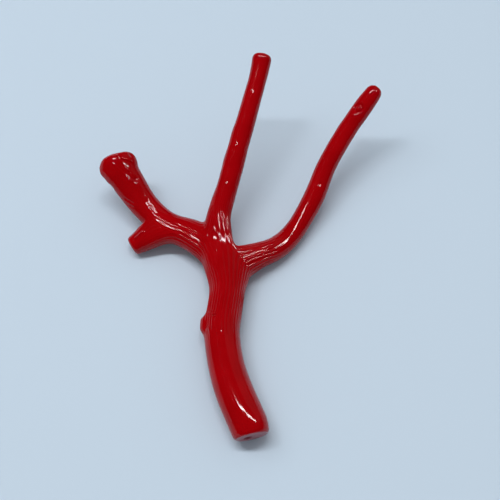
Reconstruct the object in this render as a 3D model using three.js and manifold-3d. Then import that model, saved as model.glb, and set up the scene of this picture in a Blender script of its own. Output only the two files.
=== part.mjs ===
// A polished branch of red coral, lying on a table. A thick sawn stem parts into a left, a middle and a
// right branch, and the left branch carries a short sawn stub. It rests on the lower edge of the sawn
// end, on the stub and on the bend of the right branch, and the other tips rise off the table.
//
// Millimetres, +Z up. The stem lies along Y with its sawn end towards -Y, X is to the right of it, and
// the origin is at the bottom centre of the bounding box.
//
// The surface is a cage of four-sided faces, one ring of points for each cross-section, which is
// smoothed by Catmull-Clark subdivision. Saw cuts then part the solid at its forks.

import * as THREE from "three";
import { mergeVertices } from "three/addons/utils/BufferGeometryUtils.js";
import Module from "manifold-3d";

// Cross-sections from the root of each piece to its tip. Each row holds the centre's x, y and z, the
// width across the branch, and the thickness.
const STEM = [
  [0.99, -22.6, 2.18, 4.25, 4.2],
  [0.82, -21.87, 2.28, 4.45, 4.44],
  [0.2, -20.47, 2.36, 4.45, 4.5],
  [-0.55, -18.77, 2.4, 4.45, 4.4],
  [-1.2, -17.02, 2.38, 4.35, 4.4],
  [-1.76, -15.02, 2.4, 4.22, 4.3],
  [-2.18, -12.79, 2.4, 4.2, 4.2],
  [-2.38, -10.75, 2.4, 4.2, 4.1],
  [-2.25, -8.83, 2.38, 4.2, 4.05],
  [-1.96, -6.95, 2.35, 4.1, 4],
  [-1.76, -5.07, 2.35, 4.15, 3.9],
];
const LEFT_BRANCH = [
  [-6.73, 2.71, 2.4, 3.85, 3.4],
  [-8.28, 3.3, 2.38, 3.5, 3.2],
  [-9.68, 4.08, 2.42, 3.4, 3.05],
  [-10.98, 5.18, 2.5, 3.45, 3],
  [-12.13, 6.22, 2.98, 3.55, 3],
  [-13.08, 7.29, 3.6, 3.75, 3.05],
  [-13.9, 8.41, 4.3, 3.95, 3.15],
  [-14.68, 9.35, 4.9, 4.2, 3.25],
  [-15.12, 9.97, 5.26, 4.6, 3.3],
  [-15.28, 10.52, 5.54, 4.6, 3.2],
];
const STUB = [
  [-11.63, 2.73, 1.75, 3.6, 2.9],
  [-12.46, 2.21, 1.44, 3, 2.65],
  [-13.12, 1.83, 1.3, 2.55, 2.5],
];
const MIDDLE_BRANCH = [
  [-2.84, 4.69, 4.3, 2.75, 2.75],
  [-2.21, 6.56, 4.92, 2.75, 2.75],
  [-1.64, 8.4, 5.56, 2.6, 2.65],
  [-1.15, 10.35, 6.28, 2.8, 2.65],
  [-0.53, 12.46, 7.08, 2.6, 2.55],
  [0.13, 14.55, 7.9, 2.5, 2.45],
  [0.77, 16.63, 8.74, 2.35, 2.35],
  [1.37, 18.63, 9.56, 2.3, 2.2],
  [1.93, 20.63, 10.35, 2.25, 2.2],
  [2.34, 22.65, 11.1, 2.45, 2.3],
];
const RIGHT_BRANCH = [
  [2.32, 0.03, 1.95, 3, 2.85],
  [4, 0.88, 1.56, 3, 2.8],
  [5.42, 2.23, 1.34, 2.8, 2.75],
  [6.77, 3.93, 1.55, 2.55, 2.6],
  [7.82, 5.71, 2.05, 2.55, 2.5],
  [8.8, 7.39, 2.65, 2.68, 2.55],
  [9.57, 9.08, 3.35, 2.6, 2.5],
  [10.23, 10.81, 4.1, 2.5, 2.4],
  [11.19, 12.53, 4.93, 2.45, 2.35],
  [12.32, 14.23, 5.84, 2.45, 2.3],
  [13.48, 15.79, 6.77, 2.25, 2.2],
  [14.75, 17.33, 7.7, 2.5, 2.25],
  [16.35, 19.23, 8.8, 2.25, 2.1],
];

// The two crotches of the fork. Each has a middle, a half thickness there, the saddle that the crotch
// opens from, and the point where the outer flank of the fork turns into the branch.
const LEFT_CROTCH = {
  middle: [-4.55, 1.43, 2.3],
  half: 2,
  saddle: [-4.7, 4.05, 2.4],
  flank: [-4.93, -1.15, 2.35],
};
const RIGHT_CROTCH = {
  middle: [-0.6, -0.97, 2.25],
  half: 1.95,
  saddle: [-1.12, 0.51, 2.3],
  flank: [1.02, -3.03, 2.2],
};
const FORK_CROWN = 0.52;

// Rings of points between the last whole ring of a piece and the fork, counted without the two ends.
const STEM_FILL = 2;
const LEFT_FILL = 1;
const MIDDLE_FILL = 2;
const RIGHT_FILL = 1;

// Points in a ring. The fork shares its points out between the rings, so these belong together.
const STEM_RING = 16;
const SIDE_RING = 12;
const BRIDGE_POINTS = 5;

// Tips: each is closed by rings that shrink to these shares of the last width, these shares of half the
// width further on, and then by a cap.
const ROUND_TIP = [[0.93, 0.38], [0.74, 0.74], [0.42, 0.95]];
const BLUNT_TIP = [[0.99, 0.3], [0.87, 0.56], [0.58, 0.72]];
const SAWN_TIP = [[0.97, 0.34], [0.84, 0.52], [0.56, 0.6]];
const SAWN_END = [[0.96, -0.14], [0.87, -0.25], [0.76, -0.28], [0.53, -0.28]];

// The stub grows from a patch of the left branch, two rings long and four points wide.
const STUB_ROW = 1;
const STUB_FIRST_POINT = 1;
const STUB_LAST_POINT = 5;

// The broken bud on the left flank of the stem, and the pit in the sawn end.
const BUD = { at: [-4.25, -9.52, 2.6], radii: [0.8, 1.2, 1.1], turn: 0.25 };
const BUD_SEGMENTS = [16, 10];
const PIT = { across: 1.1, depth: 1.4, offset: [-0.45, -0.1], taper: 0.6 };
const PIT_SEGMENTS = 14;

// The saw cuts that part the pieces: the place is the number of a cross-section, and the part of the way
// from it to the next.
const KERF = 0.3;
const KERFS = [
  { rows: LEFT_BRANCH, at: 0, size: 5.4 },
  { rows: MIDDLE_BRANCH, at: 0, size: 4.6 },
  { rows: RIGHT_BRANCH, at: 0, size: 5 },
  { rows: STUB, at: 0.4, size: 3.6 },
];

const PIECES = {
  stem: STEM,
  left_branch: LEFT_BRANCH,
  left_stub: STUB,
  middle_branch: MIDDLE_BRANCH,
  right_branch: RIGHT_BRANCH,
};

const CORAL_RED = { color: 0xa3060c, roughness: 0.12, metalness: 0 };

const SUBDIVISIONS = 1;

const vector = ([x, y, z]) => new THREE.Vector3(x, y, z);
const average = (list) => list.reduce((sum, p) => sum.add(p), new THREE.Vector3()).divideScalar(list.length);

/** The cage: points, and four-sided faces that name them by number, anticlockwise from outside. */
class Cage {
  points = [];
  faces = [];

  /** Adds points and gives their numbers. */
  add(points) {
    const first = this.points.length;
    this.points.push(...points);
    return points.map((_, k) => first + k);
  }

  /** Joins two rings of equal length, leaving out the faces that start at the skipped places. */
  band(lower, upper, skipped = []) {
    lower.forEach((a, k) => {
      const next = (k + 1) % lower.length;
      if (!skipped.includes(k)) this.faces.push([a, upper[k], upper[next], lower[next]]);
    });
  }

  /** Joins a ring to the next ones by bands, and gives the last. */
  bands(first, rings) {
    return rings.reduce((lower, upper) => {
      this.band(lower, upper);
      return upper;
    }, first);
  }

  /** Points part way from one ring to another, in a number of steps between them. */
  fill(from, to, steps) {
    return Array.from({ length: steps }, (_, s) =>
      this.add(from.map((a, k) => this.points[a].clone().lerp(this.points[to[k]], (s + 1) / (steps + 1)))),
    );
  }

  /** Closes a ring with a square grid of faces. The ring has four times as many points as a side. */
  cap(ring, facesBack = false) {
    const side = ring.length / 4;
    const start = Math.floor(side / 2);
    const rim = (k) => ring[(k + start + ring.length) % ring.length];
    const grid = Array.from({ length: side + 1 }, () => new Array(side + 1));
    for (let k = 0; k < side; k++) {
      grid[0][k] = rim(k);
      grid[k][side] = rim(side + k);
      grid[side][side - k] = rim(2 * side + k);
      grid[side - k][0] = rim(3 * side + k);
    }
    const at = (i, j) => this.points[grid[i][j]];
    for (let i = 1; i < side; i++)
      for (let j = 1; j < side; j++) {
        const [u, v] = [j / side, i / side];
        const across = at(i, 0).clone().lerp(at(i, side), u);
        const along = at(0, j).clone().lerp(at(side, j), v);
        grid[i][j] = this.add([across.lerp(along, 0.5)])[0];
      }
    for (let i = 0; i < side; i++)
      for (let j = 0; j < side; j++) {
        const face = [grid[i][j], grid[i + 1][j], grid[i + 1][j + 1], grid[i][j + 1]];
        this.faces.push(facesBack ? face.reverse() : face);
      }
  }
}

/** The directions of a cross-section: along the branch, across it and up. */
function directions(rows, at) {
  const before = vector(rows[Math.max(0, at - 1)]);
  const after = vector(rows[Math.min(rows.length - 1, at + 1)]);
  const along = after.sub(before).normalize();
  const across = along.clone().cross(new THREE.Vector3(0, 0, 1)).normalize();
  return { along, across, up: across.clone().cross(along) };
}

/**
 * One ring of points on an oval, from a first angle in degrees, drawn so that its smoothed curve has the
 * oval's size.
 */
function oval(centre, { along, across, up }, wide, thick, count, firstAngle, ahead = 0) {
  const spread = 6 / (4 + 2 * Math.cos((2 * Math.PI) / count));
  return Array.from({ length: count }, (_, k) => {
    const angle = THREE.MathUtils.degToRad(firstAngle) + (2 * Math.PI * k) / count;
    return centre
      .clone()
      .addScaledVector(across, (spread * Math.cos(angle) * wide) / 2)
      .addScaledVector(up, (spread * Math.sin(angle) * thick) / 2)
      .addScaledVector(along, ahead);
  });
}

/** The rings of a piece, one for each of its cross-sections. */
function ringsOf(cage, rows, count, firstAngle) {
  return rows.map(([x, y, z, wide, thick], k) =>
    cage.add(oval(vector([x, y, z]), directions(rows, k), wide, thick, count, firstAngle)),
  );
}

/** The rings that close a piece beyond one of its cross-sections. */
function tipRings(cage, rows, at, shape, count, firstAngle) {
  const [x, y, z, wide, thick] = rows[at];
  const centre = vector([x, y, z]);
  const facing = directions(rows, at);
  return shape.map(([share, ahead]) =>
    cage.add(oval(centre, facing, wide * share, thick * share, count, firstAngle, (ahead * wide) / 2)),
  );
}

/** Half an oval from the top of a crotch, over a side point, to its bottom, without the two ends. */
function halfOval({ middle, half }, side) {
  const centre = vector(middle);
  const out = vector(side).sub(centre);
  return Array.from({ length: BRIDGE_POINTS }, (_, k) => {
    const angle = (Math.PI * (k + 1)) / (BRIDGE_POINTS + 1);
    return centre
      .clone()
      .addScaledVector(out, Math.sin(angle))
      .add(new THREE.Vector3(0, 0, half * Math.cos(angle)));
  });
}

/** The loops of points where the stem parts in three, each in the order of its branch's rings. */
function forkLoops(cage) {
  const topAndBottom = ({ middle, half }) => {
    const [x, y, z] = middle;
    return cage.add([vector([x, y, z + half]), vector([x, y, z - half])]);
  };
  const [leftTop, leftBottom] = topAndBottom(LEFT_CROTCH);
  const [rightTop, rightBottom] = topAndBottom(RIGHT_CROTCH);
  const between = (a, b, crown) => {
    const p = average([cage.points[a], cage.points[b]]);
    p.z += crown;
    return cage.add([p])[0];
  };
  const top = between(leftTop, rightTop, FORK_CROWN);
  const bottom = between(leftBottom, rightBottom, -FORK_CROWN);
  const leftBridge = cage.add(halfOval(LEFT_CROTCH, LEFT_CROTCH.saddle));
  const rightBridge = cage.add(halfOval(RIGHT_CROTCH, RIGHT_CROTCH.saddle));
  const leftFlank = cage.add(halfOval(LEFT_CROTCH, LEFT_CROTCH.flank));
  const rightFlank = cage.add(halfOval(RIGHT_CROTCH, RIGHT_CROTCH.flank)).reverse();
  return {
    stem: [leftTop, ...leftFlank, leftBottom, bottom, rightBottom, ...rightFlank, rightTop, top],
    left: [leftTop, ...leftFlank, leftBottom, ...[...leftBridge].reverse()],
    middle: [
      leftTop,
      ...leftBridge,
      leftBottom,
      bottom,
      rightBottom,
      ...[...rightBridge].reverse(),
      rightTop,
      top,
    ],
    right: [rightTop, ...rightBridge, rightBottom, ...rightFlank],
  };
}

/** The whole branch as one cage. */
function coralCage() {
  const cage = new Cage();
  const fork = forkLoops(cage);
  const stemStart = 112.5;
  const sideStart = 90;

  const stem = ringsOf(cage, STEM, STEM_RING, stemStart);
  cage.bands(stem[0], [...stem.slice(1), ...cage.fill(stem.at(-1), fork.stem, STEM_FILL), fork.stem]);
  const sawn = tipRings(cage, STEM, 0, SAWN_END, STEM_RING, stemStart);
  cage.bands(sawn.at(-1), [...sawn.slice(0, -1).reverse(), stem[0]]);
  cage.cap(sawn.at(-1), true);

  const middle = ringsOf(cage, MIDDLE_BRANCH, STEM_RING, stemStart);
  const middleTip = tipRings(cage, MIDDLE_BRANCH, MIDDLE_BRANCH.length - 1, BLUNT_TIP, STEM_RING, stemStart);
  cage.cap(
    cage.bands(fork.middle, [...cage.fill(fork.middle, middle[0], MIDDLE_FILL), ...middle, ...middleTip]),
  );

  const right = ringsOf(cage, RIGHT_BRANCH, SIDE_RING, sideStart);
  const rightTip = tipRings(cage, RIGHT_BRANCH, RIGHT_BRANCH.length - 1, ROUND_TIP, SIDE_RING, sideStart);
  cage.cap(cage.bands(fork.right, [...cage.fill(fork.right, right[0], RIGHT_FILL), ...right, ...rightTip]));

  const left = ringsOf(cage, LEFT_BRANCH, SIDE_RING, sideStart);
  const leftTip = tipRings(cage, LEFT_BRANCH, LEFT_BRANCH.length - 1, BLUNT_TIP, SIDE_RING, sideStart);
  const leftRings = [fork.left, ...cage.fill(fork.left, left[0], LEFT_FILL), ...left, ...leftTip];
  const stubRow = LEFT_FILL + 1 + STUB_ROW;
  const patch = Array.from({ length: STUB_LAST_POINT - STUB_FIRST_POINT }, (_, k) => STUB_FIRST_POINT + k);
  leftRings.slice(1).forEach((upper, k) => {
    const onStub = k === stubRow || k === stubRow + 1;
    cage.band(leftRings[k], upper, onStub ? patch : []);
  });
  cage.cap(leftRings.at(-1));

  const [near, mid, far] = leftRings.slice(stubRow, stubRow + 3);
  const across = (ring) => ring.slice(STUB_FIRST_POINT, STUB_LAST_POINT + 1);
  const root = [mid[STUB_FIRST_POINT], ...across(near), mid[STUB_LAST_POINT], ...across(far).reverse()];
  const stub = ringsOf(cage, STUB, SIDE_RING, sideStart);
  const stubTip = tipRings(cage, STUB, STUB.length - 1, SAWN_TIP, SIDE_RING, sideStart);
  cage.cap(cage.bands(root, [...stub, ...stubTip]));
  return cage;
}

/** One step of Catmull-Clark subdivision. */
function smoothed({ points, faces }) {
  const facePoints = faces.map((face) => average(face.map((p) => points[p])));
  const edges = new Map();
  const around = points.map(() => ({ faces: [], middles: [] }));
  faces.forEach((face, f) =>
    face.forEach((a, k) => {
      const b = face[(k + 1) % face.length];
      const key = Math.min(a, b) + " " + Math.max(a, b);
      if (!edges.has(key)) edges.set(key, { ends: [a, b], faces: [] });
      edges.get(key).faces.push(f);
      around[a].faces.push(f);
    }),
  );
  const edgeNumbers = new Map();
  const edgePoints = [];
  for (const [key, edge] of edges) {
    const ends = edge.ends.map((p) => points[p]);
    edge.ends.forEach((p) => around[p].middles.push(average(ends)));
    edgeNumbers.set(key, points.length + faces.length + edgePoints.length);
    edgePoints.push(average([...ends, ...edge.faces.map((f) => facePoints[f])]));
  }
  const moved = points.map((point, p) => {
    const count = around[p].faces.length;
    if (count === 0) return point; // left over inside the patch that the stub grows from
    return average(around[p].faces.map((f) => facePoints[f]))
      .addScaledVector(average(around[p].middles), 2)
      .addScaledVector(point, count - 3)
      .divideScalar(count);
  });
  const edgeOf = (a, b) => edgeNumbers.get(Math.min(a, b) + " " + Math.max(a, b));
  const split = faces.flatMap((face, f) =>
    face.map((a, k) => {
      const next = face[(k + 1) % face.length];
      const before = face[(k + face.length - 1) % face.length];
      return [a, edgeOf(a, next), points.length + f, edgeOf(before, a)];
    }),
  );
  return { points: [...moved, ...facePoints, ...edgePoints], faces: split };
}

const wasm = await Module();
wasm.setup();

/** A closed solid from a list of corner coordinates and the numbers of each triangle's corners. */
function solidFrom(coordinates, corners) {
  return new wasm.Manifold(
    new wasm.Mesh({
      numProp: 3,
      vertProperties: new Float32Array(coordinates),
      triVerts: new Uint32Array(corners),
    }),
  );
}

/** A closed solid from one of the simple geometries, put in its place by a matrix. */
function placedSolid(geometry, place) {
  const bare = geometry.clone().deleteAttribute("normal").deleteAttribute("uv");
  const merged = mergeVertices(bare).applyMatrix4(place);
  return solidFrom(merged.attributes.position.array, merged.index.array);
}

/** The whole branch as one smooth solid. */
function coralSolid() {
  let surface = coralCage();
  for (let step = 0; step < SUBDIVISIONS; step++) surface = smoothed(surface);
  const coordinates = surface.points.flatMap((point) => point.toArray());
  const corners = surface.faces.flatMap(([a, b, c, d]) => [a, b, c, a, c, d]);
  return solidFrom(coordinates, corners);
}

/** The matrix that puts a shape at a point with its Y axis along a branch and its Z axis up. */
function placeAlong({ across, along, up }, point) {
  return new THREE.Matrix4().makeBasis(across, along, up).setPosition(point);
}

/** The broken bud on the stem's left flank. */
function budSolid() {
  const { at, radii, turn } = BUD;
  const place = new THREE.Matrix4()
    .makeRotationZ(turn)
    .scale(vector(radii))
    .setPosition(vector(at));
  return placedSolid(new THREE.SphereGeometry(1, ...BUD_SEGMENTS), place);
}

/** The pit that the core has left in the sawn end, a tapered hole. */
function pitSolid() {
  const { across, depth, offset, taper } = PIT;
  const frame = directions(STEM, 0);
  const [x, y, z] = STEM[0];
  const centre = new THREE.Vector3(x, y, z)
    .addScaledVector(frame.across, offset[0])
    .addScaledVector(frame.up, offset[1]);
  const shape = new THREE.CylinderGeometry((across / 2) * taper, across / 2, 2 * depth, PIT_SEGMENTS);
  return placedSolid(shape, placeAlong(frame, centre));
}

/** A thin slab across a piece, part of the way from one of its cross-sections to the next. */
function kerfSolid({ rows, at, size }) {
  const row = Math.floor(at);
  const point = vector(rows[row]).lerp(vector(rows[row + 1]), at - row);
  const slab = new THREE.BoxGeometry(size, KERF, size);
  return placedSolid(slab, placeAlong(directions(rows, row), point));
}

/** A named mesh from a solid, in polished red. */
function coralMesh(name, solid) {
  const { vertProperties, triVerts } = solid.getMesh();
  const geometry = new THREE.BufferGeometry();
  geometry.setAttribute("position", new THREE.BufferAttribute(vertProperties, 3));
  geometry.setIndex(new THREE.BufferAttribute(triVerts, 1));
  geometry.computeVertexNormals();
  const mesh = new THREE.Mesh(geometry, new THREE.MeshStandardMaterial(CORAL_RED));
  mesh.name = name;
  return mesh;
}

/** How far the middle of a solid's box is from the middle of a piece's cross-sections. */
function distanceTo(rows, solid) {
  const { min, max } = solid.boundingBox();
  const middle = vector(min).add(vector(max)).divideScalar(2);
  return middle.distanceTo(average(rows.map(vector)));
}

const whole = coralSolid().add(budSolid()).subtract(pitSolid());
const sawnPieces = KERFS.reduce((solid, kerf) => solid.subtract(kerfSolid(kerf)), whole).decompose();

const coral = new THREE.Group();
for (const [name, rows] of Object.entries(PIECES)) {
  const nearest = sawnPieces.reduce((a, b) => (distanceTo(rows, b) < distanceTo(rows, a) ? b : a));
  coral.add(coralMesh(name, nearest));
}

export default coral;
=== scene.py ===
"""A polished branch of red coral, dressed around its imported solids.

A cage of four-sided faces follows the same cross-sections as the solids. It is smoothed by subdivision,
the growth grooves, lumps and single marks are carved into the fine mesh, and the mesh is then parted
at the forks into one piece for each node. Sizes are in millimetres until a mesh is written in metres.
"""

import logging
import math
from dataclasses import dataclass, field
from enum import Enum

import bpy
import numpy as np
from mathutils import Matrix, Vector


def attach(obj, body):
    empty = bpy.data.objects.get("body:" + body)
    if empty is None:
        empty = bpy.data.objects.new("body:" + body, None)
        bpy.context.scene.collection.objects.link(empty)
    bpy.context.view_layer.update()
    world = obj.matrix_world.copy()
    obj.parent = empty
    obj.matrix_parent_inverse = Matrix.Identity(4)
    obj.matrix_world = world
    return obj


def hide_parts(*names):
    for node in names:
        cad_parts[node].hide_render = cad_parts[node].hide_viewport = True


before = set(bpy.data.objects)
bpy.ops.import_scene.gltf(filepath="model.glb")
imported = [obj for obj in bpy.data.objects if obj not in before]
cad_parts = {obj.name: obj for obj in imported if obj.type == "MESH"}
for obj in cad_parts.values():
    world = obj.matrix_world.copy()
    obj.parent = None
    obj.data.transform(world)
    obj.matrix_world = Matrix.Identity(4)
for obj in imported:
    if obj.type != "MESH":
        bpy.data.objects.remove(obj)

LOG = logging.getLogger("coral")

MM = 0.001
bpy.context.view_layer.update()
MARK_SHARPNESS = 2.0
RING_SHARPNESS = 8.0
SHORTEST_SQUARE = 1e-9

Point = np.ndarray
Triple = tuple[float, float, float]


class Part(Enum):
    """The pieces of the branch. Each value is the number that its faces carry."""

    STEM = 0
    LEFT_BRANCH = 1
    LEFT_STUB = 2
    MIDDLE_BRANCH = 3
    RIGHT_BRANCH = 4


class Finish(Enum):
    """The finishes of the surface. Each value is the material's place on a piece."""

    POLISHED = 0
    SAWN = 1


def vec(*values: float) -> Point:
    """A point or direction from its three values."""
    return np.array(values, dtype=float)


def unit(direction: Point) -> Point:
    """A direction at length one."""
    return direction / np.linalg.norm(direction)


def smooth_step(low: float, high: float, values: np.ndarray) -> np.ndarray:
    """A soft step from zero at low to one at high."""
    share = np.clip((values - low) / (high - low), 0.0, 1.0)
    return share * share * (3.0 - 2.0 * share)


def new_object(name: str, data: bpy.types.ID) -> bpy.types.Object:
    """Makes an object and puts it in the scene."""
    made = bpy.data.objects.new(name, data)
    bpy.context.scene.collection.objects.link(made)
    return made


@dataclass(frozen=True)
class Section:
    """One cross-section of a branch.

    Args:
        x: Centre, to the right.
        y: Centre, towards the tips.
        z: Centre, above the surface that the branch lies on.
        wide: Width across the branch.
        thick: Thickness.
    """

    x: float
    y: float
    z: float
    wide: float
    thick: float

    @property
    def centre(self) -> Point:
        """The middle of the cross-section."""
        return vec(self.x, self.y, self.z)


@dataclass(frozen=True)
class Axes:
    """The three directions of a cross-section, each at length one.

    Args:
        along: From the root of the branch towards its tip.
        across: Level, to the right as seen from the root.
        up: At right angles to both.
    """

    along: Point
    across: Point
    up: Point

    @staticmethod
    def at(sections: list[Section], place: int) -> "Axes":
        """Works out the directions from the neighbouring cross-sections.

        Args:
            sections: The cross-sections of a piece, root first.
            place: The number of the cross-section.

        Returns:
            Its three directions.
        """
        before = sections[max(0, place - 1)].centre
        after = sections[min(len(sections) - 1, place + 1)].centre
        along = unit(after - before)
        across = unit(np.cross(along, vec(0, 0, 1)))
        return Axes(along, across, np.cross(across, along))


@dataclass
class Ring:
    """A closed row of cage points.

    Args:
        corners: The numbers of its points.
        length: How far along the branch it lies.
    """

    corners: list[int]
    length: float = 0.0

    def __len__(self) -> int:
        """The number of points."""
        return len(self.corners)


@dataclass
class Cage:
    """The control cage: points, and four-sided faces between them.

    Args:
        points: The places of the points.
        faces: The numbers of each face's points.
        flows: The column and the length at each corner of each face.
        parts: The piece of each face.
        finishes: The finish of each face.
    """

    points: list[Point] = field(default_factory=list)
    faces: list[tuple[int, ...]] = field(default_factory=list)
    flows: list[tuple[tuple[float, float], ...]] = field(default_factory=list)
    parts: list[int] = field(default_factory=list)
    finishes: list[int] = field(default_factory=list)

    def add(self, points: list[Point]) -> list[int]:
        """Adds points.

        Args:
            points: Their places.

        Returns:
            Their numbers.
        """
        first = len(self.points)
        self.points.extend(points)
        return list(range(first, first + len(points)))

    def face(self, corners: list[int], flow: list[tuple[float, float]], part: Part, finish: Finish) -> None:
        """Adds one face.

        Args:
            corners: Its points, anticlockwise from outside.
            flow: The column and the length at each corner.
            part: The piece that it belongs to.
            finish: Its finish.
        """
        self.faces.append(tuple(corners))
        self.flows.append(tuple(flow))
        self.parts.append(part.value)
        self.finishes.append(finish.value)

    def band(
        self,
        lower: Ring,
        upper: Ring,
        part: Part,
        finish: Finish = Finish.POLISHED,
        skipped: range = range(0),
    ) -> None:
        """Joins two rings of equal length.

        Args:
            lower: The ring nearer the root.
            upper: The ring nearer the tip.
            part: The piece that the faces belong to.
            finish: Their finish.
            skipped: The columns that are left open.
        """
        count = len(lower)
        for k in range(count):
            if k in skipped:
                continue
            following = (k + 1) % count
            corners = [lower.corners[k], upper.corners[k], upper.corners[following], lower.corners[following]]
            flow = [(k, lower.length), (k, upper.length), (k + 1, upper.length), (k + 1, lower.length)]
            self.face(corners, flow, part, finish)

    def bands(self, first: Ring, rings: list[Ring], part: Part) -> Ring:
        """Joins a ring to the next ones.

        Args:
            first: The ring to start from.
            rings: The rings that follow it.
            part: The piece that the faces belong to.

        Returns:
            The last ring.
        """
        lower = first
        for upper in rings:
            self.band(lower, upper, part)
            lower = upper
        return lower

    def fill(self, start: Ring, end: Ring, steps: int) -> list[Ring]:
        """Adds rings part way between two others.

        Args:
            start: The first of the two.
            end: The second.
            steps: The number of rings to add.

        Returns:
            The new rings, in order.
        """
        rings = []
        for step in range(1, steps + 1):
            share = step / (steps + 1)
            pairs = zip(start.corners, end.corners)
            between = [self.points[a] * (1 - share) + self.points[b] * share for a, b in pairs]
            rings.append(Ring(self.add(between), start.length * (1 - share) + end.length * share))
        return rings

    def cap(self, ring: Ring, part: Part, finish: Finish = Finish.POLISHED, faces_back: bool = False) -> None:
        """Closes a ring with a square grid of faces.

        Args:
            ring: The ring, with four times as many points as the grid has on a side.
            part: The piece that the faces belong to.
            finish: Their finish.
            faces_back: Whether the faces look back towards the root.
        """
        side = len(ring) // 4
        start = side // 2
        grid = [[-1] * (side + 1) for _ in range(side + 1)]
        for k in range(side):
            rim = [ring.corners[(k + start + turn * side) % len(ring)] for turn in range(4)]
            grid[0][k], grid[k][side], grid[side][side - k], grid[side - k][0] = rim
        for i in range(1, side):
            for j in range(1, side):
                u, v = j / side, i / side
                across = self.points[grid[i][0]] * (1 - u) + self.points[grid[i][side]] * u
                along = self.points[grid[0][j]] * (1 - v) + self.points[grid[side][j]] * v
                grid[i][j] = self.add([(across + along) / 2])[0]
        for i in range(side):
            for j in range(side):
                corners = [grid[i][j], grid[i + 1][j], grid[i + 1][j + 1], grid[i][j + 1]]
                if faces_back:
                    corners.reverse()
                self.face(corners, [(0.0, ring.length)] * 4, part, finish)


def oval(
    section: Section, axes: Axes, count: int, first_angle: float, share: float = 1.0, ahead: float = 0.0
) -> list[Point]:
    """One ring of points whose smoothed curve has the size of a cross-section.

    Args:
        section: The cross-section.
        axes: Its directions.
        count: The number of points.
        first_angle: Where the first one lies, in degrees from the right-hand side upwards.
        share: The size as a share of the cross-section's.
        ahead: How far beyond the cross-section the ring lies.

    Returns:
        The points, anticlockwise as seen from the root.
    """
    # Subdivision draws a ring in by this much, so its points start further out.
    spread = 6 / (4 + 2 * math.cos(2 * math.pi / count))
    points = []
    for k in range(count):
        angle = math.radians(first_angle) + 2 * math.pi * k / count
        across = axes.across * (spread * share * math.cos(angle) * section.wide / 2)
        up = axes.up * (spread * share * math.sin(angle) * section.thick / 2)
        points.append(section.centre + across + up + axes.along * ahead)
    return points


@dataclass
class Limb:
    """A branch of the coral, as a row of cross-sections and the way that its free end is closed.

    Args:
        part: Which piece it is.
        rows: The values of its cross-sections, root first.
        ring_points: The number of points in each ring.
        first_angle: Where a ring's first point lies, in degrees.
        tip: The rings that close it, each with its share of the size and how far out it lies, as a share
            of half the width.
    """

    part: Part
    rows: tuple[tuple[float, float, float, float, float], ...]
    ring_points: int = 12
    first_angle: float = 90.0
    tip: tuple[tuple[float, float], ...] = ()

    @property
    def sections(self) -> list[Section]:
        """Its cross-sections."""
        return [Section(*row) for row in self.rows]

    @property
    def lengths(self) -> list[float]:
        """How far each cross-section lies from the first, along the branch."""
        centres = np.array([section.centre for section in self.sections])
        steps = np.linalg.norm(np.diff(centres, axis=0), axis=1)
        return [0.0, *np.cumsum(steps)]

    def rings(self, cage: Cage) -> list[Ring]:
        """Adds a ring for each cross-section.

        Args:
            cage: The cage to add to.

        Returns:
            The rings, root first.
        """
        made = []
        for place, (section, length) in enumerate(zip(self.sections, self.lengths)):
            axes = Axes.at(self.sections, place)
            points = oval(section, axes, self.ring_points, self.first_angle)
            made.append(Ring(cage.add(points), length))
        return made

    def closing_rings(self, cage: Cage, place: int) -> list[Ring]:
        """Adds the rings that close the free end.

        Args:
            cage: The cage to add to.
            place: The number of the cross-section at the free end.

        Returns:
            The rings, outermost last.
        """
        section = self.sections[place]
        axes = Axes.at(self.sections, place)
        made = []
        for share, reach in self.tip:
            ahead = reach * section.wide / 2
            points = oval(section, axes, self.ring_points, self.first_angle, share, ahead)
            made.append(Ring(cage.add(points), self.lengths[place] + ahead))
        return made

    def grow(self, cage: Cage, root: Ring, fill: int) -> list[Ring]:
        """Grows the branch from a loop of the fork to its closed tip.

        Args:
            cage: The cage to add to.
            root: The loop that it grows from.
            fill: The number of rings between the loop and the first cross-section.

        Returns:
            All its rings with the root first.
        """
        rings = self.rings(cage)
        root.length = -float(np.linalg.norm(cage.points[root.corners[0]] - cage.points[rings[0].corners[0]]))
        closing = self.closing_rings(cage, len(rings) - 1)
        return [root, *cage.fill(root, rings[0], fill), *rings, *closing]


def stem() -> Limb:
    """The thick trunk, from its sawn end to the fork."""
    return Limb(
        part=Part.STEM,
        ring_points=16,
        first_angle=112.5,
        tip=((0.96, -0.14), (0.87, -0.25), (0.76, -0.28), (0.53, -0.28)),
        rows=(
            (0.99, -22.6, 2.18, 4.25, 4.2),
            (0.82, -21.87, 2.28, 4.45, 4.44),
            (0.2, -20.47, 2.36, 4.45, 4.5),
            (-0.55, -18.77, 2.4, 4.45, 4.4),
            (-1.2, -17.02, 2.38, 4.35, 4.4),
            (-1.76, -15.02, 2.4, 4.22, 4.3),
            (-2.18, -12.79, 2.4, 4.2, 4.2),
            (-2.38, -10.75, 2.4, 4.2, 4.1),
            (-2.25, -8.83, 2.38, 4.2, 4.05),
            (-1.96, -6.95, 2.35, 4.1, 4.0),
            (-1.76, -5.07, 2.35, 4.15, 3.9),
        ),
    )


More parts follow.
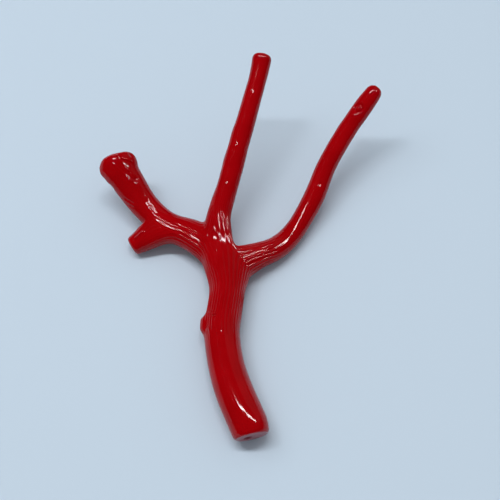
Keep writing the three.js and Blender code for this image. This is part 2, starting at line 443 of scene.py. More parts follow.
def left_branch() -> Limb:
    """The short thick branch that ends in a blunt club."""
    return Limb(
        part=Part.LEFT_BRANCH,
        tip=((0.99, 0.3), (0.87, 0.56), (0.58, 0.72)),
        rows=(
            (-6.73, 2.71, 2.4, 3.85, 3.4),
            (-8.28, 3.3, 2.38, 3.5, 3.2),
            (-9.68, 4.08, 2.42, 3.4, 3.05),
            (-10.98, 5.18, 2.5, 3.45, 3.0),
            (-12.13, 6.22, 2.98, 3.55, 3.0),
            (-13.08, 7.29, 3.6, 3.75, 3.05),
            (-13.9, 8.41, 4.3, 3.95, 3.15),
            (-14.68, 9.35, 4.9, 4.2, 3.25),
            (-15.12, 9.97, 5.26, 4.6, 3.3),
            (-15.28, 10.52, 5.54, 4.6, 3.2),
        ),
    )


def left_stub() -> Limb:
    """The sawn stub on the left branch."""
    return Limb(
        part=Part.LEFT_STUB,
        tip=((0.97, 0.34), (0.84, 0.52), (0.56, 0.6)),
        rows=(
            (-11.63, 2.73, 1.75, 3.6, 2.9),
            (-12.46, 2.21, 1.44, 3.0, 2.65),
            (-13.12, 1.83, 1.3, 2.55, 2.5),
        ),
    )


def middle_branch() -> Limb:
    """The straight thin branch, which rises highest."""
    return Limb(
        part=Part.MIDDLE_BRANCH,
        ring_points=16,
        first_angle=112.5,
        tip=((0.99, 0.3), (0.87, 0.56), (0.58, 0.72)),
        rows=(
            (-2.84, 4.69, 4.3, 2.75, 2.75),
            (-2.21, 6.56, 4.92, 2.75, 2.75),
            (-1.64, 8.4, 5.56, 2.6, 2.65),
            (-1.15, 10.35, 6.28, 2.8, 2.65),
            (-0.53, 12.46, 7.08, 2.6, 2.55),
            (0.13, 14.55, 7.9, 2.5, 2.45),
            (0.77, 16.63, 8.74, 2.35, 2.35),
            (1.37, 18.63, 9.56, 2.3, 2.2),
            (1.93, 20.63, 10.35, 2.25, 2.2),
            (2.34, 22.65, 11.1, 2.45, 2.3),
        ),
    )


def right_branch() -> Limb:
    """The long thin branch in an S bend."""
    return Limb(
        part=Part.RIGHT_BRANCH,
        tip=((0.93, 0.38), (0.74, 0.74), (0.42, 0.95)),
        rows=(
            (2.32, 0.03, 1.95, 3.0, 2.85),
            (4.0, 0.88, 1.56, 3.0, 2.8),
            (5.42, 2.23, 1.34, 2.8, 2.75),
            (6.77, 3.93, 1.55, 2.55, 2.6),
            (7.82, 5.71, 2.05, 2.55, 2.5),
            (8.8, 7.39, 2.65, 2.68, 2.55),
            (9.57, 9.08, 3.35, 2.6, 2.5),
            (10.23, 10.81, 4.1, 2.5, 2.4),
            (11.19, 12.53, 4.93, 2.45, 2.35),
            (12.32, 14.23, 5.84, 2.45, 2.3),
            (13.48, 15.79, 6.77, 2.25, 2.2),
            (14.75, 17.33, 7.7, 2.5, 2.25),
            (16.35, 19.23, 8.8, 2.25, 2.1),
        ),
    )


@dataclass(frozen=True)
class Crotch:
    """The place where two branches part.

    Args:
        middle: Its middle.
        half: Half its thickness.
        saddle: The point that it opens from.
        flank: The point where the outer flank of the fork turns into the branch.
    """

    middle: Triple
    half: float
    saddle: Triple
    flank: Triple

    def ends(self) -> list[Point]:
        """The top and the bottom."""
        lift = vec(0, 0, self.half)
        return [vec(*self.middle) + lift, vec(*self.middle) - lift]

    def half_oval(self, side: Triple, count: int) -> list[Point]:
        """Points from the top, over a side point, to the bottom, without the two ends.

        Args:
            side: The side point.
            count: The number of points.

        Returns:
            The points, top first.
        """
        centre = vec(*self.middle)
        out = vec(*side) - centre
        points = []
        for k in range(1, count + 1):
            angle = math.pi * k / (count + 1)
            points.append(centre + out * math.sin(angle) + vec(0, 0, self.half * math.cos(angle)))
        return points


@dataclass
class Fork:
    """The place where the stem parts into its three branches.

    Args:
        left: Where the left and the middle branch part.
        right: Where the middle and the right branch part.
        crown: How far the fork swells out above and below, between the two crotches.
        bridge_points: The number of points from the top of a crotch to its bottom.
    """

    left: Crotch = Crotch((-4.55, 1.43, 2.3), 2.0, (-4.7, 4.05, 2.4), (-4.93, -1.15, 2.35))
    right: Crotch = Crotch((-0.6, -0.97, 2.25), 1.95, (-1.12, 0.51, 2.3), (1.02, -3.03, 2.2))
    crown: float = 0.52
    bridge_points: int = 5

    def loops(self, cage: Cage) -> dict[Part, Ring]:
        """Adds the fork's points.

        Args:
            cage: The cage to add to.

        Returns:
            The loop that each limb joins, in the order of that limb's rings.
        """
        left_top, left_bottom = cage.add(self.left.ends())
        right_top, right_bottom = cage.add(self.right.ends())
        lift = vec(0, 0, self.crown)
        top = cage.add([(cage.points[left_top] + cage.points[right_top]) / 2 + lift])[0]
        bottom = cage.add([(cage.points[left_bottom] + cage.points[right_bottom]) / 2 - lift])[0]
        count = self.bridge_points
        left_bridge = cage.add(self.left.half_oval(self.left.saddle, count))
        right_bridge = cage.add(self.right.half_oval(self.right.saddle, count))
        left_flank = cage.add(self.left.half_oval(self.left.flank, count))
        right_flank = cage.add(self.right.half_oval(self.right.flank, count))[::-1]
        below = [left_bottom, bottom, right_bottom]
        return {
            Part.STEM: Ring([left_top, *left_flank, *below, *right_flank, right_top, top]),
            Part.LEFT_BRANCH: Ring([left_top, *left_flank, left_bottom, *left_bridge[::-1]]),
            Part.MIDDLE_BRANCH: Ring([left_top, *left_bridge, *below, *right_bridge[::-1], right_top, top]),
            Part.RIGHT_BRANCH: Ring([right_top, *right_bridge, right_bottom, *right_flank]),
        }


@dataclass(frozen=True)
class Noise:
    """Smooth noise in space, the same on each run.

    Args:
        seed: Which noise it is.
        pitch: The distance between its lumps, in millimetres.
        size: The number of lattice points on a side before it repeats.
    """

    seed: int
    pitch: float
    size: int = 32

    def at(self, points: np.ndarray) -> np.ndarray:
        """The noise at each point.

        Args:
            points: One row for each point.

        Returns:
            Values from minus one to one.
        """
        lattice = np.random.default_rng(self.seed).uniform(-1.0, 1.0, (self.size,) * 3)
        scaled = points / self.pitch + self.seed * math.e
        low = np.floor(scaled).astype(int)
        share = smooth_step(0.0, 1.0, scaled - low)
        total = np.zeros(len(points))
        for corner in np.ndindex(2, 2, 2):
            weight = np.prod(np.where(np.array(corner) == 1, share, 1.0 - share), axis=1)
            x, y, z = ((low + np.array(corner)) % self.size).T
            total += weight * lattice[x, y, z]
        return total


@dataclass
class Surface:
    """The fine mesh, as arrays.

    Args:
        points: One row for each point, in millimetres.
        normals: The outward direction at each point.
        column: Which column of the cage each point lies in.
        corners: The four points of each face.
        parts: The piece of each face.
        finishes: The finish of each face.
    """

    points: np.ndarray
    normals: np.ndarray
    column: np.ndarray
    corners: np.ndarray
    parts: np.ndarray
    finishes: np.ndarray

    def sawn_points(self) -> np.ndarray:
        """Which points lie on a sawn face."""
        sawn = np.zeros(len(self.points), dtype=bool)
        sawn[self.corners[self.finishes == Finish.SAWN.value].ravel()] = True
        return sawn


@dataclass(frozen=True)
class Grooves:
    """The lengthwise growth grooves, which run with the columns of the cage.

    Args:
        per_column: Their number in a column. Times twelve and times sixteen it is a whole number.
        depth: Their depth where they are strongest.
        centre: The place where they are strongest.
        full: They keep their depth this far from the centre.
        gone: They are faint this far from the centre.
        faint: The share of the depth that is left there.
        stray: How far noise moves them sideways, in radians of their wave.
        stray_noise: The noise that moves them.
        stray_stretch: How finely it follows each direction.
        waves: The height of their wave and of the finer one between, as shares of the depth.
        patches: The noise that makes them deeper in some places.
        patch_depth: The mean share of the depth, and how much the patches change it.
    """

    per_column: float = 2.25
    depth: float = 0.085
    centre: Triple = (-3.3, -2.6, 3.0)
    full: float = 4.6
    gone: float = 11.0
    faint: float = 0.05
    stray: float = 1.3
    stray_noise: Noise = Noise(3, 2.6)
    stray_stretch: Triple = (1.0, 0.5, 1.0)
    waves: tuple[float, float] = (0.5, 0.2)
    patches: Noise = Noise(7, 1.7)
    patch_depth: tuple[float, float] = (0.65, 0.5)

    def height(self, surface: Surface) -> np.ndarray:
        """How far each point is moved out.

        Args:
            surface: The fine mesh.

        Returns:
            Heights in millimetres.
        """
        points = surface.points
        stray = self.stray * self.stray_noise.at(points * vec(*self.stray_stretch))
        phase = 2 * math.pi * self.per_column * surface.column + stray
        ridge = self.waves[0] * np.cos(phase) + self.waves[1] * np.cos(2.0 * phase + stray)
        away = np.linalg.norm(points - vec(*self.centre), axis=1)
        strength = 1.0 - (1.0 - self.faint) * smooth_step(self.full, self.gone, away)
        mean, change = self.patch_depth
        return self.depth * ridge * strength * (mean + change * self.patches.at(points))


@dataclass(frozen=True)
class Lumps:
    """The low unevenness that polishing has left, less of it on the thick low parts than on the free tips.

    Args:
        heights: The noises that make it, each with its seed, the distance between its lumps and its height.
        calm: The share of it on the low parts.
        calm_height: The height above the floor up to which they reach.
        calm_fade: How much higher up it has come to its full height.
    """

    heights: tuple[tuple[int, float, float], ...] = ((11, 4.2, 0.075), (12, 1.9, 0.05), (13, 0.8, 0.009))
    calm: float = 0.2
    calm_height: float = 4.6
    calm_fade: float = 1.5

    def height(self, surface: Surface) -> np.ndarray:
        """How far each point is moved out.

        Args:
            surface: The fine mesh.

        Returns:
            Heights in millimetres.
        """
        lumps = sum(depth * Noise(seed, pitch).at(surface.points) for seed, pitch, depth in self.heights)
        raised = np.clip((surface.points[:, 2] - self.calm_height) / self.calm_fade, 0.0, 1.0)
        return lumps * (self.calm + (1.0 - self.calm) * raised)


@dataclass(frozen=True)
class Mark:
    """A scratch, ridge, pit or ring on the surface, from one point to another.

    Args:
        start: Where it starts.
        end: Where it ends, or the same point.
        radius: Half its width.
        height: How far it stands out, or minus its depth.
        ring: Whether it is a raised or sunk ring round a level middle.
    """

    start: Triple
    end: Triple
    radius: float
    height: float
    ring: bool = False

    def heights(self, surface: Surface) -> np.ndarray:
        """How far each point is moved out.

        Args:
            surface: The fine mesh.

        Returns:
            Heights in millimetres.
        """
        run = vec(*self.end) - vec(*self.start)
        offset = surface.points - vec(*self.start)
        square = max(float(run @ run), SHORTEST_SQUARE)
        share = np.clip(offset @ run / square, 0.0, 1.0)
        away = np.linalg.norm(offset - share[:, None] * run, axis=1) / self.radius
        if self.ring:
            return self.height * np.exp(-((away - 1.0) ** 2) * RING_SHARPNESS)
        return self.height * np.exp(-(away**2) * MARK_SHARPNESS)


def dot(place: Triple, radius: float, height: float, ring: bool = False) -> Mark:
    """A mark that is round.

    Args:
        place: Its middle.
        radius: Half its width.
        height: How far it stands out, or minus its depth.
        ring: Whether it is a ring round a level middle.

    Returns:
        The mark.
    """
    return Mark(place, place, radius, height, ring)


@dataclass(frozen=True)
class Relief:
    """All that is carved into the smooth branch.

    Args:
        grooves: The growth grooves.
        lumps: The unevenness.
        marks: The single marks.
    """

    grooves: Grooves = Grooves()
    lumps: Lumps = Lumps()
    marks: tuple[Mark, ...] = (
        # The bud on the flank of the stem, with its crease, its pit and the low ridges beside it.
        Mark((-4.35, -9.27, 2.6), (-4.45, -10.27, 2.6), 0.9, 0.5),
        Mark((-4.2, -9.1, 3.66), (-4.2, -10.5, 3.35), 0.22, -0.14),
        Mark((-4.18, -8.6, 3.2), (-3.13, -9.05, 4.24), 0.22, 0.1),
        Mark((-3.9, -10.6, 3.75), (-3.6, -11.6, 4.0), 0.18, 0.06),
        Mark((-3.47, -9.97, 4.11), (-3.3, -10.9, 4.25), 0.14, 0.06),
        Mark((-2.97, -10.6, 4.4), (-2.9, -11.85, 4.42), 0.14, 0.05),
        Mark((-2.5, -10.3, 4.5), (-2.35, -11.27, 4.5), 0.14, 0.05),
        Mark((-4.95, -9.47, 2.7), (-5.0, -9.87, 2.7), 0.5, 0.3),
        dot((-3.19, -9.26, 4.22), 0.3, -0.18),
        # The ring near the tip of the right branch, the edge of the stub and a pit.
        dot((14.4, 17.1, 8.73), 0.5, -0.16, ring=True),
        Mark((-13.11, 1.93, 2.62), (-12.22, 2.6, 3.04), 0.22, 0.12),
        dot((9.63, 8.61, 4.51), 0.3, -0.1),
        # The ridges and hollows on the club, and two scratches below it.
        Mark((-16.54, 10.79, 6.98), (-15.43, 10.92, 7.26), 0.25, 0.1),
        Mark((-14.8, 10.63, 7.21), (-13.7, 10.52, 6.77), 0.25, 0.1),
        Mark((-15.91, 9.92, 6.93), (-13.7, 8.1, 5.9), 0.2, 0.08),
        Mark((-15.43, 10.92, 7.26), (-14.09, 9.25, 6.45), 0.18, 0.07),
        dot((-13.82, 11.42, 6.7), 0.5, -0.15),
        dot((-13.16, 8.44, 5.77), 0.45, -0.1),
        Mark((-14.48, 6.4, 4.56), (-13.4, 5.76, 4.42), 0.16, -0.06),
        Mark((-14.26, 5.93, 3.98), (-13.51, 5.48, 4.05), 0.16, -0.06),
        # The swelling on the flank of the club, and the low hollows beside it and below it.
        Mark((-17.5, 9.6, 5.4), (-17.4, 10.2, 5.5), 0.8, 0.25),
        dot((-16.3, 8.0, 4.6), 0.6, -0.14),
        Mark((-11.9, 7.0, 3.9), (-11.7, 6.0, 4.4), 0.5, -0.06),
        Mark((-11.3, 5.5, 4.2), (-10.7, 4.7, 4.1), 0.35, -0.06),
        # The short ridges and the wide hollow at the fork.
        Mark((-3.5, 2.1, 4.88), (-3.1, 1.2, 4.76), 0.16, 0.05),
        Mark((-3.1, 1.6, 4.86), (-2.7, 0.7, 4.75), 0.16, 0.05),
        Mark((-4.0, 0.5, 4.4), (-3.15, -0.8, 4.47), 0.16, 0.05),
        Mark((-1.5, 1.0, 4.8), (-1.2, 0.4, 4.7), 1.2, -0.12),
        # The ridge that runs from the fork into the right branch.
        Mark((0.6, -1.75, 3.85), (3.1, -0.1, 3.3), 0.3, 0.07),
        Mark((3.1, -0.1, 3.3), (4.9, 2.7, 2.7), 0.35, 0.08),
        # The unevenness of the middle branch.
        dot((-0.92, 11.87, 8.19), 0.4, 0.09),
        dot((-1.82, 7.58, 6.7), 0.3, -0.05),
        dot((-2.3, 9.41, 6.91), 0.4, 0.08),
        Mark((1.23, 18.11, 10.55), (1.02, 17.3, 10.27), 0.22, 0.04),
    )

    def carve(self, surface: Surface) -> np.ndarray:
        """How far each point of the polished surface is moved out.

        Args:
            surface: The fine mesh.

        Returns:
            Heights in millimetres.
        """
        height = self.grooves.height(surface) + self.lumps.height(surface)
        for mark in self.marks:
            height += mark.heights(surface)
        return np.where(surface.sawn_points(), 0.0, height)


@dataclass(frozen=True)
class SawnEnd:
    """The pit in the sawn end of the stem.

    Args:
        across: Width of the pit.
        tall: Height of the pit.
        depth: Its depth.
        offset: Its place on the face, across and up from the middle.
        slope: Where its wall ends and begins, as shares of half its size.
        face_reach: How far the face lies beyond the first cross-section, as a share of half its width.
    """

    across: float = 0.95
    tall: float = 1.3
    depth: float = 1.3
    offset: tuple[float, float] = (-0.45, -0.1)
    slope: tuple[float, float] = (0.45, 1.15)
    face_reach: float = 0.3

    def carve(self, surface: Surface, limb: Limb) -> np.ndarray:
        """How each point of the sawn face is moved.

        Args:
            surface: The fine mesh.
            limb: The stem.

        Returns:
            One row for each point.
        """
        section = limb.sections[0]
        axes = Axes.at(limb.sections, 0)
        middle = section.centre - axes.along * self.face_reach * section.wide / 2
        offset = surface.points - middle
        across = offset @ axes.across - self.offset[0]
        up = offset @ axes.up - self.offset[1]
        away = np.sqrt((across / self.across * 2) ** 2 + (up / self.tall * 2) ** 2)
        depth = self.depth * (1.0 - smooth_step(*self.slope, away))
        depth = np.where(surface.sawn_points(), depth, 0.0)
        return depth[:, None] * axes.along


def new_material(name: str) -> tuple[bpy.types.Material, bpy.types.NodeTree, bpy.types.Node]:
    """Makes a material with a plain shader.

    Args:
        name: The material's name.

    Returns:
        The material, its nodes and its shader.
    """
    made = bpy.data.materials.new(name)
    made.use_nodes = True
    return made, made.node_tree, made.node_tree.nodes["Principled BSDF"]


def mapped(
    tree: bpy.types.NodeTree,
    value: bpy.types.NodeSocket,
    source: tuple[float, float],
    target: tuple[float, float],
) -> bpy.types.NodeSocket:
    """Maps one range of a value onto another.

    Args:
        tree: The material's nodes.
        value: The value.
        source: The two ends of its range.
        target: What they become.

    Returns:
        The mapped value.
    """
    mapping = tree.nodes.new("ShaderNodeMapRange")
    for name, number in zip(("From Min", "From Max", "To Min", "To Max"), (*source, *target)):
        mapping.inputs[name].default_value = number
    tree.links.new(value, mapping.inputs["Value"])
    return mapping.outputs["Result"]


def shaded(
    tree: bpy.types.NodeTree, share: bpy.types.NodeSocket, first: Triple, second: Triple
) -> bpy.types.NodeSocket:
    """Mixes two colours.

    Args:
        tree: The material's nodes.
        share: The share of the second colour.
        first: The first colour.
        second: The second colour.

    Returns:
        The mixed colour.
    """
    shade = tree.nodes.new("ShaderNodeMix")
    shade.data_type = "RGBA"
    shade.inputs["A"].default_value = (*first, 1.0)
    shade.inputs["B"].default_value = (*second, 1.0)
    tree.links.new(share, shade.inputs["Factor"])
    return shade.outputs["Result"]


@dataclass(frozen=True)
class Cloud:
    """A cloudy pattern that is fixed to a piece.

    Args:
        scale: How fine it is, in lumps to a metre.
        detail: How many finer patterns lie over it.
    """

    scale: float
    detail: float

    def add(self, tree: bpy.types.NodeTree) -> bpy.types.NodeSocket:
        """Adds the pattern to a material.

        Args:
            tree: The material's nodes.

        Returns:
            The pattern's value.
        """
        place = tree.nodes.new("ShaderNodeTexCoord")
        cloud = tree.nodes.new("ShaderNodeTexNoise")
        cloud.inputs["Scale"].default_value = self.scale
        cloud.inputs["Detail"].default_value = self.detail
        tree.links.new(place.outputs["Object"], cloud.inputs["Vector"])
        return cloud.outputs["Fac"]


@dataclass(frozen=True)
class Grain:
    """The fine unevenness of a finish, too small to be carved.

    Args:
        cloud: Its pattern.
        strength: How strongly it shows.
        depth: Its depth, in metres.
    """

    cloud: Cloud
    strength: float
    depth: float = 0.00005

    def add(self, tree: bpy.types.NodeTree, shader: bpy.types.Node) -> None:
        """Adds the grain to a material.

        Args:
            tree: The material's nodes.
            shader: Its shader.
        """
        bump = tree.nodes.new("ShaderNodeBump")
        bump.inputs["Strength"].default_value = self.strength
        bump.inputs["Distance"].default_value = self.depth
        tree.links.new(self.cloud.add(tree), bump.inputs["Height"])
        tree.links.new(bump.outputs["Normal"], shader.inputs["Normal"])


@dataclass(frozen=True)
class PolishedCoral:
    """Deep red coral under a high polish.

    Args:
        name: The material's name.
        red: The main red.
        dark_red: The red of its darker clouds.
        cloud: The pattern of the clouds.
        cloud_edge: The values of the pattern between which the dark red turns into the main one.
        roughness: The roughness of the polish where it is best and where it is poorest.
        ior: How strongly the coral bends light.
        sheen: How bright the reflections are.
        grain: The fine unevenness of the polish.
    """

    name: str = "polished_coral"
    red: Triple = (0.36, 0.0008, 0.003)
    dark_red: Triple = (0.3, 0.0005, 0.0022)
    cloud: Cloud = Cloud(260.0, 5.0)
    cloud_edge: tuple[float, float] = (0.2, 0.6)
    roughness: tuple[float, float] = (0.0385, 0.088)
    ior: float = 1.5
    sheen: float = 0.25
    grain: Grain = Grain(Cloud(2600.0, 3.0), 0.06)

    def material(self) -> bpy.types.Material:
        """Builds the material."""
        made, tree, shader = new_material(self.name)
        shader.inputs["IOR"].default_value = self.ior
        shader.inputs["Specular IOR Level"].default_value = self.sheen
        cloud = self.cloud.add(tree)
        share = mapped(tree, cloud, self.cloud_edge, (0.0, 1.0))
        tree.links.new(shaded(tree, share, self.dark_red, self.red), shader.inputs["Base Color"])
        tree.links.new(mapped(tree, cloud, (0.0, 1.0), self.roughness), shader.inputs["Roughness"])
        self.grain.add(tree, shader)
        return made


@dataclass(frozen=True)
class SawnCoral:
    """The dull sawn face, paler than the polish.

    Args:
        name: The material's name.
        pale: The colour of the ground coral.
        dark: The colour where less of it is ground.
        cloud: The pattern in which they change.
        roughness: The roughness of the face.
        grain: The fine unevenness that the saw has left.
    """

    name: str = "sawn_coral"
    pale: Triple = (0.42, 0.12, 0.15)
    dark: Triple = (0.2, 0.02, 0.035)
    cloud: Cloud = Cloud(900.0, 6.0)
    roughness: float = 0.32
    grain: Grain = Grain(Cloud(900.0, 6.0), 0.3)

    def material(self) -> bpy.types.Material:
        """Builds the material."""
        made, tree, shader = new_material(self.name)
        shader.inputs["Roughness"].default_value = self.roughness
        shade = shaded(tree, self.cloud.add(tree), self.dark, self.pale)
        tree.links.new(shade, shader.inputs["Base Color"])
        self.grain.add(tree, shader)
        return made


@dataclass(frozen=True)
class PaleFloor:
    """A plain pale surface, slightly blue.

    Args:
        name: The material's name.
        colour: Its colour.
        roughness: Its roughness.
    """

    name: str = "pale_floor"
    colour: Triple = (0.54, 0.655, 0.77)
    roughness: float = 0.7

    def material(self) -> bpy.types.Material:
        """Builds the material."""
        made, _, shader = new_material(self.name)
        shader.inputs["Base Color"].default_value = (*self.colour, 1.0)
        shader.inputs["Roughness"].default_value = self.roughness
        return made


@dataclass
class CoralBranch:
    """The whole branch: its limbs, its fork and its relief.

    Args:
        stem: The trunk.
        left: The left branch.
        stub: The stub on it.
        middle: The middle branch.
        right: The right branch.
        fork: Where the stem parts into them.
        relief: What is carved into the polished surface.
        sawn_end: What is carved into the sawn end of the stem.
        stem_fill: The number of rings between the stem's last cross-section and the fork.
        side_fill: The same for the first cross-section of the left and the right branch.
        middle_fill: The same for the middle branch.
        fork_length: How far the fork lies beyond the stem's last cross-section, along the grooves.
        stub_row: The first of the left branch's cross-sections that the stub opens from.
        stub_columns: The columns of the left branch that it takes up.
        levels: How often the cage is subdivided.
    """

    stem: Limb = field(default_factory=stem)
    left: Limb = field(default_factory=left_branch)
    stub: Limb = field(default_factory=left_stub)
    middle: Limb = field(default_factory=middle_branch)
    right: Limb = field(default_factory=right_branch)
    fork: Fork = field(default_factory=Fork)
    relief: Relief = field(default_factory=Relief)
    sawn_end: SawnEnd = field(default_factory=SawnEnd)
    stem_fill: int = 2
    side_fill: int = 1
    middle_fill: int = 2
    fork_length: float = 4.0
    stub_row: int = 1
    stub_columns: range = range(1, 5)
    levels: int = 4

    def cage(self) -> Cage:
        """Builds the control cage."""
        cage = Cage()
        loops = self.fork.loops(cage)
        self._stem_cage(cage, loops[Part.STEM])
        for limb, fill in ((self.middle, self.middle_fill), (self.right, self.side_fill)):
            rings = limb.grow(cage, loops[limb.part], fill)
            self._close(cage, rings, limb, fill)
        self._left_cage(cage, loops[Part.LEFT_BRANCH])
        return cage

    def _stem_cage(self, cage: Cage, fork_loop: Ring) -> None:
        """Builds the stem from its sawn end to the fork.

        Args:
            cage: The cage to add to.
            fork_loop: The fork's loop.
        """
        rings = self.stem.rings(cage)
        fork_loop.length = self.stem.lengths[-1] + self.fork_length
        upper = [*rings[1:], *cage.fill(rings[-1], fork_loop, self.stem_fill), fork_loop]
        cage.bands(rings[0], upper, Part.STEM)
        rim, edge, face, inner = self.stem.closing_rings(cage, 0)
        cage.band(rim, rings[0], Part.STEM)
        cage.band(edge, rim, Part.STEM)
        cage.band(face, edge, Part.STEM, Finish.SAWN)
        cage.band(inner, face, Part.STEM, Finish.SAWN)
        cage.cap(inner, Part.STEM, Finish.SAWN, faces_back=True)

    def _close(self, cage: Cage, rings: list[Ring], limb: Limb, fill: int) -> None:
        """Joins the rings of a limb. The faces below its first cross-section belong to the stem.

        Args:
            cage: The cage to add to.
            rings: The rings, root first.
            limb: The limb.
            fill: The number of rings before the first cross-section.
        """
        cage.bands(rings[0], rings[1 : fill + 2], Part.STEM)
        cage.cap(cage.bands(rings[fill + 1], rings[fill + 2 :], limb.part), limb.part)

    def _left_cage(self, cage: Cage, fork_loop: Ring) -> None:
        """Builds the left branch with its stub.

        Args:
            cage: The cage to add to.
            fork_loop: The fork's loop.
        """
        fill = self.side_fill
        rings = self.left.grow(cage, fork_loop, fill)
        first = fill + 1 + self.stub_row
        for k, (lower, upper) in enumerate(zip(rings, rings[1:])):
            part = Part.STEM if k <= fill else Part.LEFT_BRANCH
            skipped = self.stub_columns if k in (first, first + 1) else range(0)
            cage.band(lower, upper, part, skipped=skipped)
        cage.cap(rings[-1], Part.LEFT_BRANCH)
        near, mid, far = (ring.corners for ring in rings[first : first + 3])
        low, high = self.stub_columns.start, self.stub_columns.stop
        root = Ring([mid[low], *near[low : high + 1], mid[high], *far[low : high + 1][::-1]])
        stub = self.stub.grow(cage, root, 0)
        cage.bands(stub[0], stub[1:2], Part.LEFT_BRANCH)
        cage.cap(cage.bands(stub[1], stub[2:], Part.LEFT_STUB), Part.LEFT_STUB)

    def smooth_surface(self) -> Surface:
        """Subdivides the cage into the fine mesh.

        Returns:
            The fine mesh, as arrays in millimetres.
        """
        cage = self.cage()
        mesh = bpy.data.meshes.new("coral_cage")
        used = sorted({corner for face in cage.faces for corner in face})
        number = {old: new for new, old in enumerate(used)}
        faces = [tuple(number[corner] for corner in face) for face in cage.faces]
        mesh.from_pydata([cage.points[old].tolist() for old in used], [], faces)
        flow = mesh.uv_layers.new(name="flow")
        flow.data.foreach_set("uv", np.array(cage.flows, dtype=np.float32).ravel())
        for name, values in (("part", cage.parts), ("finish", cage.finishes)):
            mesh.attributes.new(name, "INT", "FACE").data.foreach_set("value", values)
        cage_object = new_object("coral_cage", mesh)
        subdivision = cage_object.modifiers.new("smooth", "SUBSURF")
        subdivision.levels = self.levels
        subdivision.render_levels = self.levels
        subdivision.uv_smooth = "NONE"
        graph = bpy.context.evaluated_depsgraph_get()
        fine = bpy.data.meshes.new_from_object(cage_object.evaluated_get(graph), depsgraph=graph)
        bpy.data.objects.remove(cage_object)
        bpy.data.meshes.remove(mesh)
        return self._arrays(fine)

    def _arrays(self, fine: bpy.types.Mesh) -> Surface:
        """Reads a mesh into arrays.

        Args:
            fine: The subdivided mesh.

        Returns:
            The same as arrays.
        """
        points = np.empty(len(fine.vertices) * 3)
        fine.vertices.foreach_get("co", points)
        normals = np.empty(len(fine.vertices) * 3)
        fine.vertex_normals.foreach_get("vector", normals)
        corners = np.empty(len(fine.loops), dtype=np.int32)
        fine.loops.foreach_get("vertex_index", corners)
        flow = np.empty(len(fine.loops) * 2)
        fine.uv_layers["flow"].data.foreach_get("uv", flow)
        column = np.empty(len(fine.vertices))
        column[corners] = flow.reshape(-1, 2)[:, 0]
        values = {}
        for name in ("part", "finish"):
            values[name] = np.empty(len(fine.polygons), dtype=np.int32)
            fine.attributes[name].data.foreach_get("value", values[name])
        bpy.data.meshes.remove(fine)
        return Surface(
            points=points.reshape(-1, 3),
            normals=normals.reshape(-1, 3),
            column=column,
            corners=corners.reshape(-1, 4),
            parts=values["part"],
            finishes=values["finish"],
        )

    def carved_surface(self) -> Surface:
        """The fine mesh with its relief."""
        surface = self.smooth_surface()
        height = self.relief.carve(surface)
        moved = self.sawn_end.carve(surface, self.stem)
        surface.points = surface.points + height[:, None] * surface.normals + moved
        surface.normals = vertex_normals(surface)
        return surface

    def pieces(self) -> dict[Part, bpy.types.Object]:
        """Builds one object for each part.

        Returns:
            The objects by part.
        """
        surface = self.carved_surface()
        materials = [PolishedCoral().material(), SawnCoral().material()]
        return {part: CoralPiece(part, surface).build(materials) for part in Part}


def vertex_normals(surface: Surface) -> np.ndarray:
    """The outward direction at each point, from the faces round it.

    Args:
        surface: The fine mesh.

    Returns:
        One row for each point.
    """
    quads = surface.points[surface.corners]
    across = np.cross(quads[:, 2] - quads[:, 0], quads[:, 3] - quads[:, 1])
    total = np.zeros_like(surface.points)
    for corner in range(4):
        np.add.at(total, surface.corners[:, corner], across)
    return total / np.linalg.norm(total, axis=1)[:, None]


@dataclass
class CoralPiece:
    """One piece of the branch, cut from the fine mesh and closed where it was parted.

    Args:
        part: Which piece it is.
        surface: The whole fine mesh.
    """

    part: Part
    surface: Surface

    def build(self, materials: list[bpy.types.Material]) -> bpy.types.Object:
        """Builds the piece's object.

        Args:
            materials: The polished and the sawn finish.

        Returns:
            The object.
        """
        chosen = self.surface.parts == self.part.value
        corners = self.surface.corners[chosen]
        used, numbered = np.unique(corners, return_inverse=True)
        numbered = numbered.reshape(-1, 4)
        points = self.surface.points[used]
        normals = self.surface.normals[used]
        faces = numbered.tolist()
        finishes = self.surface.finishes[chosen].tolist()
        corner_normals = [normals[k] for face in faces for k in face]
        for loop in open_loops(numbered):
            centre = points[loop].mean(axis=0)
            outward = unit(np.cross(points[loop[0]] - centre, points[loop[len(loop) // 4]] - centre))
            points = np.vstack([points, centre])
            for a, b in zip(loop, [*loop[1:], loop[0]]):
                faces.append([a, b, len(points) - 1])
                finishes.append(Finish.SAWN.value)
                corner_normals.extend([outward] * 3)
        name = "coral_" + self.part.name.lower()
        mesh = bpy.data.meshes.new(name)
        mesh.from_pydata((points * MM).tolist(), [], faces)
        for material in materials:
            mesh.materials.append(material)
        mesh.polygons.foreach_set("material_index", finishes)
        mesh.polygons.foreach_set("use_smooth", [True] * len(faces))
        mesh.normals_split_custom_set([Vector(normal) for normal in corner_normals])
        return new_object(name, mesh)


def open_loops(faces: np.ndarray) -> list[list[int]]:
    """The open rims of a mesh.

    Args:
        faces: The four points of each face.

    Returns:
        Each rim's points, in the order that faces closing it need.
    """
    starts = faces.ravel()
    ends = np.roll(faces, -1, axis=1).ravel()
    edges = set(zip(starts.tolist(), ends.tolist()))
    following = {b: a for a, b in edges if (b, a) not in edges}
    loops = []
    while following:
        first, at = following.popitem()
        loop = [first]
        while at != first:
            loop.append(at)
            at = following.pop(at)
        loops.append(loop)
    return loops


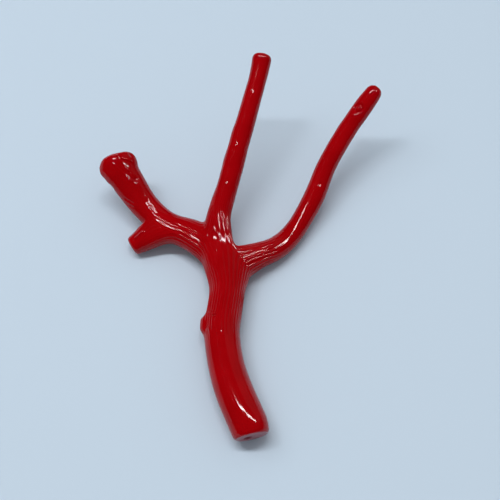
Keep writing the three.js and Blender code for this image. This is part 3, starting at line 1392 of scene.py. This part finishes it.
@dataclass(frozen=True)
class Panel:
    """A flat soft light that looks at the middle of the branch.

    Args:
        name: Its name.
        place: Its middle.
        wide: Its length from left to right.
        high: Its other length.
        radiance: How bright it looks, where white paper in its own light is about one.
        mirrored: Whether the polish mirrors it.
        lit: Whether it also lights the surfaces.
    """

    name: str
    place: Triple
    wide: float
    high: float
    radiance: float
    mirrored: bool = True
    lit: bool = True

    def light(self) -> None:
        """Puts the light in the scene."""
        lamp = bpy.data.lights.new(self.name, "AREA")
        lamp.shape = "RECTANGLE"
        lamp.size = self.wide * MM
        lamp.size_y = self.high * MM
        lamp.energy = self.radiance * math.pi * lamp.size * lamp.size_y
        light = new_object(self.name, lamp)
        back = Vector(self.place).normalized()
        high = back.cross(Vector((1.0, 0.0, 0.0))).normalized()
        turned = Matrix((high.cross(back), high, back)).transposed()
        light.matrix_world = Matrix.Translation(Vector(self.place) * MM) @ turned.to_4x4()
        light.visible_glossy = self.mirrored
        light.visible_diffuse = self.lit


@dataclass
class Studio:
    """The floor, the lights and the camera.

    Args:
        elevation: How steeply the camera looks down, in degrees.
        lens: Its focal length.
        sensor: Its sensor's width.
        distance: How far it is from the target.
        nearest: How near to the camera a thing may be and still show, in metres.
        target: The point of the floor that it looks at.
        floor_side: The length of each side of the floor.
        sky_colour: The colour of the light from all round.
        sky_strength: Its strength.
        panels: The lights.
    """

    elevation: float = 61.0
    lens: float = 70.0
    sensor: float = 36.0
    distance: float = 121.5
    nearest: float = 0.002
    target: tuple[float, float] = (0.92, 1.68)
    floor_side: float = 1600.0
    sky_colour: Triple = (0.95, 0.98, 1.0)
    sky_strength: float = 0.38
    panels: tuple[Panel, ...] = (
        Panel("strip", (258.0, 287.0, 1560.0), wide=1920.0, high=100.0, radiance=50.0, lit=False),
        Panel("ceiling", (-260.0, 240.0, 1520.0), wide=1200.0, high=130.0, radiance=26.5, mirrored=False),
        Panel("window", (-120.0, 50.0, 175.0), wide=90.0, high=90.0, radiance=2.4, mirrored=False),
        Panel("wall", (232.0, 232.0, 229.0), wide=420.0, high=260.0, radiance=0.16),
    )

    def floor(self) -> None:
        """The pale surface that the branch lies on."""
        half = self.floor_side / 2 * MM
        mesh = bpy.data.meshes.new("floor")
        corners = [(-half, -half, 0), (half, -half, 0), (half, half, 0), (-half, half, 0)]
        mesh.from_pydata(corners, [], [(0, 1, 2, 3)])
        mesh.materials.append(PaleFloor().material())
        floor = new_object("floor", mesh)

    def camera(self) -> None:
        """The camera, at the photograph's angle."""
        lens = bpy.data.cameras.new("camera")
        lens.lens = self.lens
        lens.sensor_width = self.sensor
        lens.clip_start = self.nearest
        camera = new_object("camera", lens)
        angle = math.radians(self.elevation)
        x, y = self.target
        place = vec(x, y - self.distance * math.cos(angle), self.distance * math.sin(angle))
        camera.location = Vector(place * MM)
        camera.rotation_euler = (math.pi / 2 - angle, 0.0, 0.0)
        bpy.context.scene.camera = camera

    def world(self) -> None:
        """The soft light from all round, which the polish doesn't mirror."""
        world = bpy.data.worlds.new("world")
        world.use_nodes = True
        background = world.node_tree.nodes["Background"]
        background.inputs["Color"].default_value = (*self.sky_colour, 1.0)
        background.inputs["Strength"].default_value = self.sky_strength
        world.cycles_visibility.glossy = False
        bpy.context.scene.world = world

    def build(self) -> None:
        """Sets up the whole studio."""
        self.floor()
        self.camera()
        for panel in self.panels:
            panel.light()
        self.world()
        bpy.context.scene.view_settings.view_transform = "Standard"


def main() -> None:
    """Builds the branch and its studio."""
    logging.basicConfig(level=logging.INFO, format="%(message)s")
    for part, piece in CoralBranch().pieces().items():
        node = part.name.lower()
        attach(piece, "root")
        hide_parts(node)
        LOG.info("%s: %d faces", piece.name, len(piece.data.polygons))
    Studio().build()


if __name__ == "__main__":
    main()
